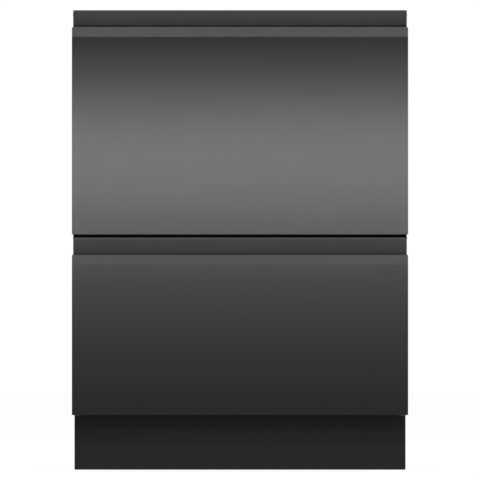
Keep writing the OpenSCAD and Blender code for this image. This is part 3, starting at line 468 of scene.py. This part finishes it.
sheet_sink = 0.0001  # how deep a rib's foot lies in the sheet
side_low, side_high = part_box("left_side_panel")
side_face = max(-side_low[0], side_high[0]) - sheet_sink
side_rib_width, side_rib_proud = 0.020, 0.0011
side_rib_places = (-0.150, -0.050, 0.050, 0.150, 0.235)
side_rib_spans = ((0.135, 0.375), (0.455, 0.760))
clinch_places = (side_low[1] + 0.045, side_high[1] - 0.012)
clinch_heights = [0.12 + 0.085 * k for k in range(9)]
clinch_outline = [(0.0, 0.0045), (0.0004, 0.0042), (0.0005, 0.003), (0.0002, 0.0)]
for out, node in ((-1, "left_side_panel"), (1, "right_side_panel")):
    ribs = bmesh.new()
    x = out * side_face
    for y in side_rib_places:
        for low, high in side_rib_spans:
            pressed_rib(ribs, (x, y, low), (x, y, high), (out, 0, 0), side_rib_width, side_rib_proud)
    for z in clinch_heights:
        for y in clinch_places:
            turned(ribs, (x, y, z), (out, 0, 0), clinch_outline, 20)
    piece(node + "_ribs", ribs, zinc_sheet, "chassis", 60)

tab_rise = 0.003  # the worktop tabs stand this far above the sheet
top_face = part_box("top_panel")[1][2] - tab_rise - sheet_sink
top_rib_width, top_rib_proud = 0.022, 0.0012
top_rib_front, top_rib_back = -0.165, 0.175
ribs = bmesh.new()
for x in (-0.225, -0.075, 0.075, 0.225):
    start, end = (x, top_rib_front, top_face), (x, top_rib_back, top_face)
    pressed_rib(ribs, start, end, (0, 0, 1), top_rib_width, top_rib_proud)
piece("top_panel_ribs", ribs, zinc_sheet, "chassis", 60)

# ---- Base tray and braces ----
# The tray under the lower drawer is deep-drawn steel with a grey powder coat, and it catches leaks.
# Two black folded braces between the bays tie the sides together.


def painted(name, tone, rough=0.42):
    """Powder coat, with the fine orange peel that baking leaves."""
    coat = Finish(name, 0.0, rough, Coat_Weight=0.15)
    coat.colour(coat.shades(coat.noise(9), shade_of(tone, 0.9), shade_of(tone, 1.08)))
    coat.rough(coat.span(coat.noise(40, detail=2), rough - 0.05, rough + 0.07))
    coat.bump(coat.noise(600, detail=1), 0.12, 0.0002)
    return coat.material


dress("base_tray", painted("grey_powder_coat", (0.155, 0.16, 0.165)))
# The braces are black powder coat, taken darker than a real coat's black as painted shade in the gap
# between the fronts
dress("cross_braces", painted("black_powder_coat", (0.006, 0.006, 0.0065), 0.6))

# ---- Levelling feet ----
# Each foot is a moulded nylon pad with a hexagon for the spanner, on a zinc plated threaded stem.
# The stem screws into a boss under the base tray.


def nylon_and_zinc(name, pad_tone, stem_tone, stem_foot):
    """Black nylon up to the height stem_foot, and a zinc plated thread above it."""
    foot = Finish(name, 0.0, 0.5)
    is_stem = foot.span(foot.height(), 0.0, 1.0, stem_foot - 0.0001, stem_foot + 0.0001)
    foot.colour(foot.shades(is_stem, pad_tone, stem_tone, 0.45, 0.55))
    foot.join(is_stem, foot.shader.inputs["Metallic"])
    foot.rough(foot.span(foot.noise(90), 0.36, 0.56))
    turns = foot.node("TexWave", bands_direction="Z", Scale=180.0)
    foot.join(foot.place(), turns.inputs["Vector"])
    foot.bump(foot.maths("MULTIPLY", turns.outputs["Fac"], is_stem), 0.9, 0.0006)
    foot.bump(foot.noise(900, detail=2), 0.1, 0.0001)
    return foot.material


stem_foot = 0.0173
foot_finish = nylon_and_zinc("foot_nylon_and_zinc", (0.022, 0.022, 0.023), (0.55, 0.56, 0.57), stem_foot)
for node in ("front_left_foot", "front_right_foot", "rear_left_foot", "rear_right_foot"):
    dress(node, foot_finish, 0.0006)

# ---- Seals ----
# Black rubber profiles close the gaps at the drawer openings, and a grey one runs under each lid.
# They are pushed onto the sheet's edges, or into a groove of the lid.


def rubber(name, tone):
    """Dull moulded rubber."""
    soft = Finish(name, 0.0, 0.75, Specular_IOR_Level=0.12)
    soft.colour(soft.shades(soft.noise(40), shade_of(tone, 0.8), shade_of(tone, 1.3)))
    soft.bump(soft.noise(900, detail=2), 0.2, 0.0002)
    return soft.material


# The seals are black rubber, taken darker than rubber's own black as painted shade in the gaps between the
# fronts
dress("edge_seals", rubber("black_rubber", (0.004, 0.004, 0.0042)))
for side in ("upper", "lower"):
    dress(side + "_lid_seal", rubber(side + "_grey_rubber", (0.16, 0.165, 0.17)), 0.0008)

# ---- Rails ----
# Three roll-formed steel members on each side of a drawer: the outer one is screwed to the chassis,
# the inner one to the tub, and the middle one runs between them on balls. All are zinc plated.


def plated(name, tone, rough=0.3, scale=(900, 5, 900)):
    """Zinc plated steel, with fine lines along Y unless the scale is even."""
    steel = Finish(name, 1.0, rough)
    lines = steel.noise(scale, rough=0.6)
    steel.colour(steel.shades(lines, shade_of(tone, 0.88), shade_of(tone, 1.06)))
    steel.rough(steel.span(lines, rough - 0.06, rough + 0.1))
    steel.bump(steel.noise(300, detail=2), 0.04, 0.0002)
    return steel.material


rail_steel = plated("zinc_plated_rail", (0.60, 0.61, 0.63))
for node in ("outer_rails", "upper_inner_rails", "lower_inner_rails"):
    dress(node, rail_steel, 0.0003)
for node in ("upper_mid_rails", "lower_mid_rails"):
    dress(node, rail_steel)

# ---- Lid guides and links ----
# A gear motor at the rear pushes a steel link plate along each side, and the plate's slanted slots
# press the lid down onto the tub. The guides and the motor's case are glass-filled nylon.


def moulded(name, tone, rough, grain=1600):
    """Moulded plastic, slightly cloudy, with a fine grain."""
    plastic = Finish(name, 0.0, rough)
    plastic.colour(plastic.shades(plastic.noise(16), shade_of(tone, 0.93), shade_of(tone, 1.05)))
    plastic.rough(plastic.span(plastic.noise(55, detail=2), rough - 0.05, rough + 0.06))
    plastic.bump(plastic.noise(grain, detail=2), 0.12, 0.0001)
    return plastic.material


black_nylon = moulded("black_nylon", (0.018, 0.018, 0.019), 0.48)
dress("lid_actuators", black_nylon, 0.0004)
link_steel = plated("link_steel", (0.42, 0.43, 0.45), 0.34)
for side in ("upper", "lower"):
    dress(side + "_lid_links", link_steel, 0.0003)

# ---- Water, drain and mains fittings ----
# They pass through the rear wall of the base tray: a white double solenoid valve with a 3/4 inch
# thread, a black barbed drain spigot, and a nylon gland for the mains cord.

valve_plastic = moulded("white_valve_body", (0.66, 0.66, 0.64), 0.4)
drain_plastic = moulded("black_drain_spigot", (0.02, 0.02, 0.021), 0.42)
dress("inlet_valve", valve_plastic, 0.0006)
dress("drain_outlet", drain_plastic, 0.0006)
dress("cable_gland", black_nylon, 0.0006)
inlet_x, drain_x, fitting_z = -0.190, 0.190, 0.0785
grip_start = cad_high[1] - 0.0190  # where the thread and the barbs begin, 19 mm from the ends


def gripping_rings(x, count, pitch, outline):
    """Rings round a fitting's axis, one behind the other, which grip a nut or a hose."""
    rings = bmesh.new()
    for k in range(count):
        turned(rings, (x, grip_start + pitch * k, fitting_z), (0, 1, 0), outline, 48, closed=True)
    return rings


thread_outline = [(0.0, 0.0129), (0.0002, 0.0133), (0.0006, 0.0138), (0.0010, 0.0138), (0.0014, 0.0133),
                  (0.0016, 0.0129)]
thread = gripping_rings(inlet_x, 9, 0.0018, thread_outline)
piece("inlet_thread", thread, valve_plastic, "chassis", 60)
barb_outline = [(0.0, 0.0092), (0.0001, 0.0105), (0.0007, 0.0107), (0.0050, 0.0096), (0.0052, 0.0092)]
barbs = gripping_rings(drain_x, 3, 0.0060, barb_outline)
piece("drain_barbs", barbs, drain_plastic, "chassis", 40)

# ---- Screws ----
# Zinc plated pan heads with a cross recess fix the side panels to the braces and the top, and the
# back panel to the sides. Each modelled head stands where the plain one was.


def screw_head(bm, centre, out, height):
    """A pan head with a cross pressed into its crown."""
    radius = 0.0036
    arm, half = radius * 0.55, radius * 0.15
    least = 1e-4  # keeps the divisions finite along the arms

    def cross(angle):
        """How far the two crossed arms reach at an angle."""
        c, s = max(abs(math.cos(angle)), least), max(abs(math.sin(angle)), least)
        return max(min(arm / c, half / s), min(arm / s, half / c))

    def cross_floor(angle):
        """The recess tapers towards its floor."""
        return cross(angle) * 0.7

    outline = [(0.0, radius), (0.45, radius), (0.8, radius * 0.88), (1.0, radius * 0.68), (0.98, cross),
               (0.3, cross_floor)]
    turned(bm, centre, out, [(along * height, reach) for along, reach in outline], 48)


screw_zinc = plated("bright_zinc", (0.66, 0.67, 0.69), 0.24, (400, 400, 400))
dress("chassis_screws", screw_zinc)
side_seat, side_head_height = 0.2975, 0.0011
side_screw_places, side_screw_heights = (-0.2265, 0.2583), (0.4145, 0.813)
back_seat, back_head_height = 0.2835, 0.0016
back_screw_places, back_screw_heights = (-0.2803, -0.15136, 0.15136, 0.2803), (0.1275, 0.787)
heads = bmesh.new()
for out in (-1, 1):
    for y in side_screw_places:
        for z in side_screw_heights:
            screw_head(heads, (out * side_seat, y, z), (out, 0, 0), side_head_height)
for x in back_screw_places:
    for z in back_screw_heights:
        screw_head(heads, (x, back_seat, z), (0, 1, 0), back_head_height)
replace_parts(piece("chassis_screw_heads", heads, screw_zinc, "chassis"), "chassis_screws")

# ---- Drawer liners and touch controls ----
# Behind each front is a moulded black liner with the air duct and the ledge for the controls.
# The controls are a sealed gloss panel with touch marks printed on it.


def gloss_panel(name):
    """Black gloss plastic with a hard clear coat."""
    gloss = Finish(name, 0.0, 0.12, Coat_Weight=0.6, Coat_Roughness=0.04)
    gloss.colour(gloss.shades(gloss.noise(30), (0.004, 0.004, 0.0045), (0.007, 0.007, 0.0078)))
    gloss.rough(gloss.span(gloss.noise(12), 0.09, 0.17))
    return gloss.material


def printed(name):
    """Pale screen print."""
    ink = Finish(name, 0.0, 0.4)
    ink.colour(ink.shades(ink.noise(300), (0.52, 0.53, 0.54), (0.62, 0.63, 0.64)))
    return ink.material


def flat_ring(bm, x, y, z, outer, inner, gap=0.0):
    """A printed ring, open over an angle at the side away from the user."""
    sides = 40
    edge = []
    for k in range(sides + 1):
        a = math.pi / 2 + gap / 2 + (2 * math.pi - gap) * k / sides
        edge.append([bm.verts.new((x + r * math.cos(a), y + r * math.sin(a), z)) for r in (inner, outer)])
    for a, b in zip(edge, edge[1:]):
        bm.faces.new((a[0], a[1], b[1], b[0]))


def flat_bar(bm, x, y, z, width, depth):
    """A printed bar, placed by its middle."""
    corners = ((-0.5, -0.5), (0.5, -0.5), (0.5, 0.5), (-0.5, 0.5))
    bm.faces.new([bm.verts.new((x + a * width, y + b * depth, z)) for a, b in corners])


def touch_marks(y, z):
    """The print of one panel: power, four programs, four lamps, a dash and a pair of arrowheads."""
    marks = bmesh.new()
    power_x, dash_x = -0.125, 0.095
    program_places = (-0.085, -0.055, -0.025, 0.005)
    lamp_places = (0.045, 0.052, 0.059, 0.066)
    arrow_places = (0.122, 0.1305)
    flat_ring(marks, power_x, y, z, 0.0042, 0.0034, gap=1.1)
    flat_bar(marks, power_x, y + 0.0028, z, 0.0009, 0.0040)
    for k, x in enumerate(program_places):
        flat_ring(marks, x, y, z, 0.0036, 0.0031)
        for n in range(k + 1):
            flat_bar(marks, x, y - 0.00135 + n * 0.0011, z, 0.0036, 0.0005)
    for x in lamp_places:
        flat_ring(marks, x, y, z, 0.0011, 0.0001)
    flat_bar(marks, dash_x, y, z, 0.020, 0.0006)
    arrowhead = ((0, -0.0034), (0, 0.0034), (0.0065, 0))
    for x in arrow_places:
        marks.faces.new([marks.verts.new((x + along, y + across, z)) for along, across in arrowhead])
    # The print is a thin layer whose lower side lies in the panel
    print_depth = 0.0002
    layer = bmesh.ops.extrude_face_region(marks, geom=marks.faces[:])
    for part in layer["geom"]:
        if isinstance(part, bmesh.types.BMVert):
            part.co.z -= print_depth
    return marks


control_gloss = gloss_panel("control_gloss")
mark_print = printed("mark_print")
liner_plastic = moulded("liner_plastic", (0.016, 0.016, 0.017), 0.5)
print_rise = 0.00006
for side in ("upper", "lower"):
    dress(side + "_front_liner", liner_plastic, 0.0004)
    dress(side + "_controls", control_gloss, 0.0006)
    low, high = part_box(side + "_controls")
    marks = touch_marks((low[1] + high[1]) / 2, high[2] + print_rise)
    piece(side + "_touch_marks", marks, mark_print, side + "_drawer")

# ---- Tubs ----
# Each drawer's tub is injection moulded in pale grey polypropylene with talc, so it's satin and
# slightly cloudy. The sump in its floor holds the filter plate, and the pump hangs under it.

tub_plastic = moulded("tub_polypropylene", (0.42, 0.435, 0.44), 0.42, 900)
pump_plastic = moulded("pump_nylon", (0.03, 0.031, 0.032), 0.5)
rotor_plastic = moulded("rotor_acetal", (0.66, 0.67, 0.68), 0.35)
for side in ("upper", "lower"):
    dress(side + "_tub", tub_plastic, 0.0008)
    dress(side + "_pump_motor", pump_plastic, 0.0005)
    dress(side + "_impeller", rotor_plastic)


def moulded_rib(bm, x, y, low, high, out):
    """An upright rib on a moulded wall, with draft on its sides and sloping ends."""
    width, proud, wall_sink, end_slope = 0.0034, 0.0026, 0.0004, 2.5
    rings = []
    for lift, draft in ((-wall_sink, 0.0), (proud * 0.8, 0.0005), (proud, 0.0009)):
        half = width / 2 - draft
        slope = max(lift, 0) * end_slope
        corners = ((-half, low + slope), (half, low + slope), (half, high - slope), (-half, high - slope))
        rings.append([bm.verts.new((x + out * lift, y + across, z)) for across, z in corners])
    skin(bm, rings)


# Upright ribs stiffen the side walls above the rails
tub_wall_x = 0.278
tub_rib_start, tub_rib_pitch, tub_rib_count = -0.172, 0.042, 10
tub_rib_spans = {"upper": (0.583, 0.752), "lower": (0.260, 0.349)}
for side, (low, high) in tub_rib_spans.items():
    ribs = bmesh.new()
    for out in (-1, 1):
        for k in range(tub_rib_count):
            moulded_rib(ribs, out * tub_wall_x, tub_rib_start + tub_rib_pitch * k, low, high, out)
    piece(side + "_tub_ribs", ribs, tub_plastic, side + "_drawer", 25)

# ---- Filter plates ----
# A stainless plate with rings of slots lies on the sump's step, and its post carries the spray arm.
# The sheet is punched, then brushed round and round.


def brushed_round(name):
    """Stainless steel brushed in rings round the object's upright axis."""
    steel = Finish(name, 1.0, 0.32, Anisotropic=0.5)
    wave = steel.node("TexWave", wave_type="RINGS", rings_direction="Z", Scale=420.0, Distortion=1.5)
    steel.join(steel.place(), wave.inputs["Vector"])
    steel.colour(steel.shades(wave.outputs["Fac"], (0.44, 0.445, 0.45), (0.56, 0.565, 0.57)))
    steel.rough(steel.span(steel.noise(25), 0.26, 0.42))
    steel.bump(wave.outputs["Fac"], 0.05, 0.0001)
    return steel.material


filter_steel = brushed_round("filter_stainless")
for side in ("upper", "lower"):
    dress(side + "_filter_plate", filter_steel, 0.0003)

# ---- Spray arms ----
# Two grey polypropylene shells welded together turn on the filter's post, driven by their jets.
# A lobed nut on the post keeps the arm from lifting off.

lobe_count, lobe_depth = 8, 0.06


def lobed(radius):
    """A radius that swells and shrinks round the nut, for a grip."""
    return lambda angle: radius * (1 + lobe_depth * math.cos(lobe_count * angle))


arm_plastic = moulded("arm_polypropylene", (0.60, 0.61, 0.615), 0.36, 1200)
nut_plastic = moulded("nut_polypropylene", (0.30, 0.32, 0.34), 0.42, 1200)
nut_bore = 0.0096
nut_outline = [(0.0003, lobed(0.0150)), (0.0004, lobed(0.0165)), (0.0042, lobed(0.0160)),
               (0.0052, lobed(0.0145)), (0.0052, nut_bore), (0.0003, nut_bore)]
for side in ("upper", "lower"):
    dress(side + "_spray_arm", arm_plastic, 0.0008)
    low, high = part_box(side + "_spray_arm")
    nut = bmesh.new()
    turned(nut, ((low[0] + high[0]) / 2, (low[1] + high[1]) / 2, high[2]), (0, 0, 1), nut_outline, 72, True)
    piece(side + "_arm_nut", nut, nut_plastic, side + "_arm", 50)

# ---- Racks ----
# Grids of steel wire are welded together and coated in grey nylon by dipping, which leaves the
# crossings rounded. The fixed tines carry small moulded caps on their ends.


def nylon_coat(name, tone):
    """Dipped nylon, glossy and slightly uneven."""
    coat = Finish(name, 0.0, 0.34, Coat_Weight=0.25, Coat_Roughness=0.2)
    coat.colour(coat.shades(coat.noise(45), shade_of(tone, 0.9), shade_of(tone, 1.08)))
    coat.rough(coat.span(coat.noise(120), 0.28, 0.42))
    coat.bump(coat.noise(500, detail=2), 0.15, 0.0002)
    return coat.material


rack_coat = nylon_coat("grey_nylon_coat", (0.33, 0.35, 0.37))
tine_coat = nylon_coat("slate_nylon_coat", (0.13, 0.15, 0.17))
cap_coat = moulded("tine_cap_plastic", (0.12, 0.14, 0.16), 0.4, 1200)
tine_tips = {"upper": 0.614, "lower": 0.2785}
tine_lines = (-0.118, 0.1443)
tine_start, tine_pitch, tine_count = -0.198, 0.044, 10
cap_overlap = 0.006
cap_outline = [(0, 0.00175), (0, 0.0024), (0.0055, 0.0026), (0.0072, 0.0022), (0.0082, 0.0012), (0.0086, 0)]
for side, tip in tine_tips.items():
    dress(side + "_rack", rack_coat)
    dress(side + "_tine_row", tine_coat)
    caps = bmesh.new()
    for y in tine_lines:
        for k in range(tine_count):
            x = tine_start + tine_pitch * k
            turned(caps, (x, y, tip - cap_overlap), (0, 0, 1), cap_outline, 16)
    piece(side + "_tine_caps", caps, cap_coat, side + "_drawer", 50)
for node in ("upper_left_cup_rack", "upper_right_cup_rack", "lower_left_cup_rack"):
    dress(node, tine_coat)

# ---- Cutlery basket ----
# A basket of grey polypropylene with four cells stands at the right of the lower rack.
# It is moulded in one piece, with windows in its long sides for the water.

basket_plastic = moulded("basket_polypropylene", (0.20, 0.215, 0.225), 0.46, 1200)
dress("lower_cutlery_basket", basket_plastic, 0.0007)

# ---- Dispensers ----
# Each tub's front wall holds a dispenser: a cup with a sprung flap for the detergent tablet, and
# beside it a blue bayonet cap over the rinse aid tank.

dispenser_plastic = moulded("dispenser_polypropylene", (0.50, 0.515, 0.52), 0.4, 1200)
flap_plastic = moulded("flap_polypropylene", (0.58, 0.595, 0.60), 0.38, 1200)
cap_plastic = moulded("rinse_cap_plastic", (0.03, 0.13, 0.36), 0.35, 1200)
for side in ("upper", "lower"):
    dress(side + "_dispenser", dispenser_plastic, 0.0006)
    dress(side + "_dispenser_lid", flap_plastic, 0.0006)
    dress(side + "_rinse_cap", cap_plastic, 0.0006)

# ---- Lids ----
# A lid waits in the chassis above each drawer, and the links lower it onto the tub's rim.
# It is a ribbed tray of pale grey polypropylene, open at the top, with a steel pin at each corner.

lid_plastic = moulded("lid_polypropylene", (0.52, 0.535, 0.54), 0.4, 900)
for side in ("upper", "lower"):
    dress(side + "_lid", lid_plastic, 0.0008)
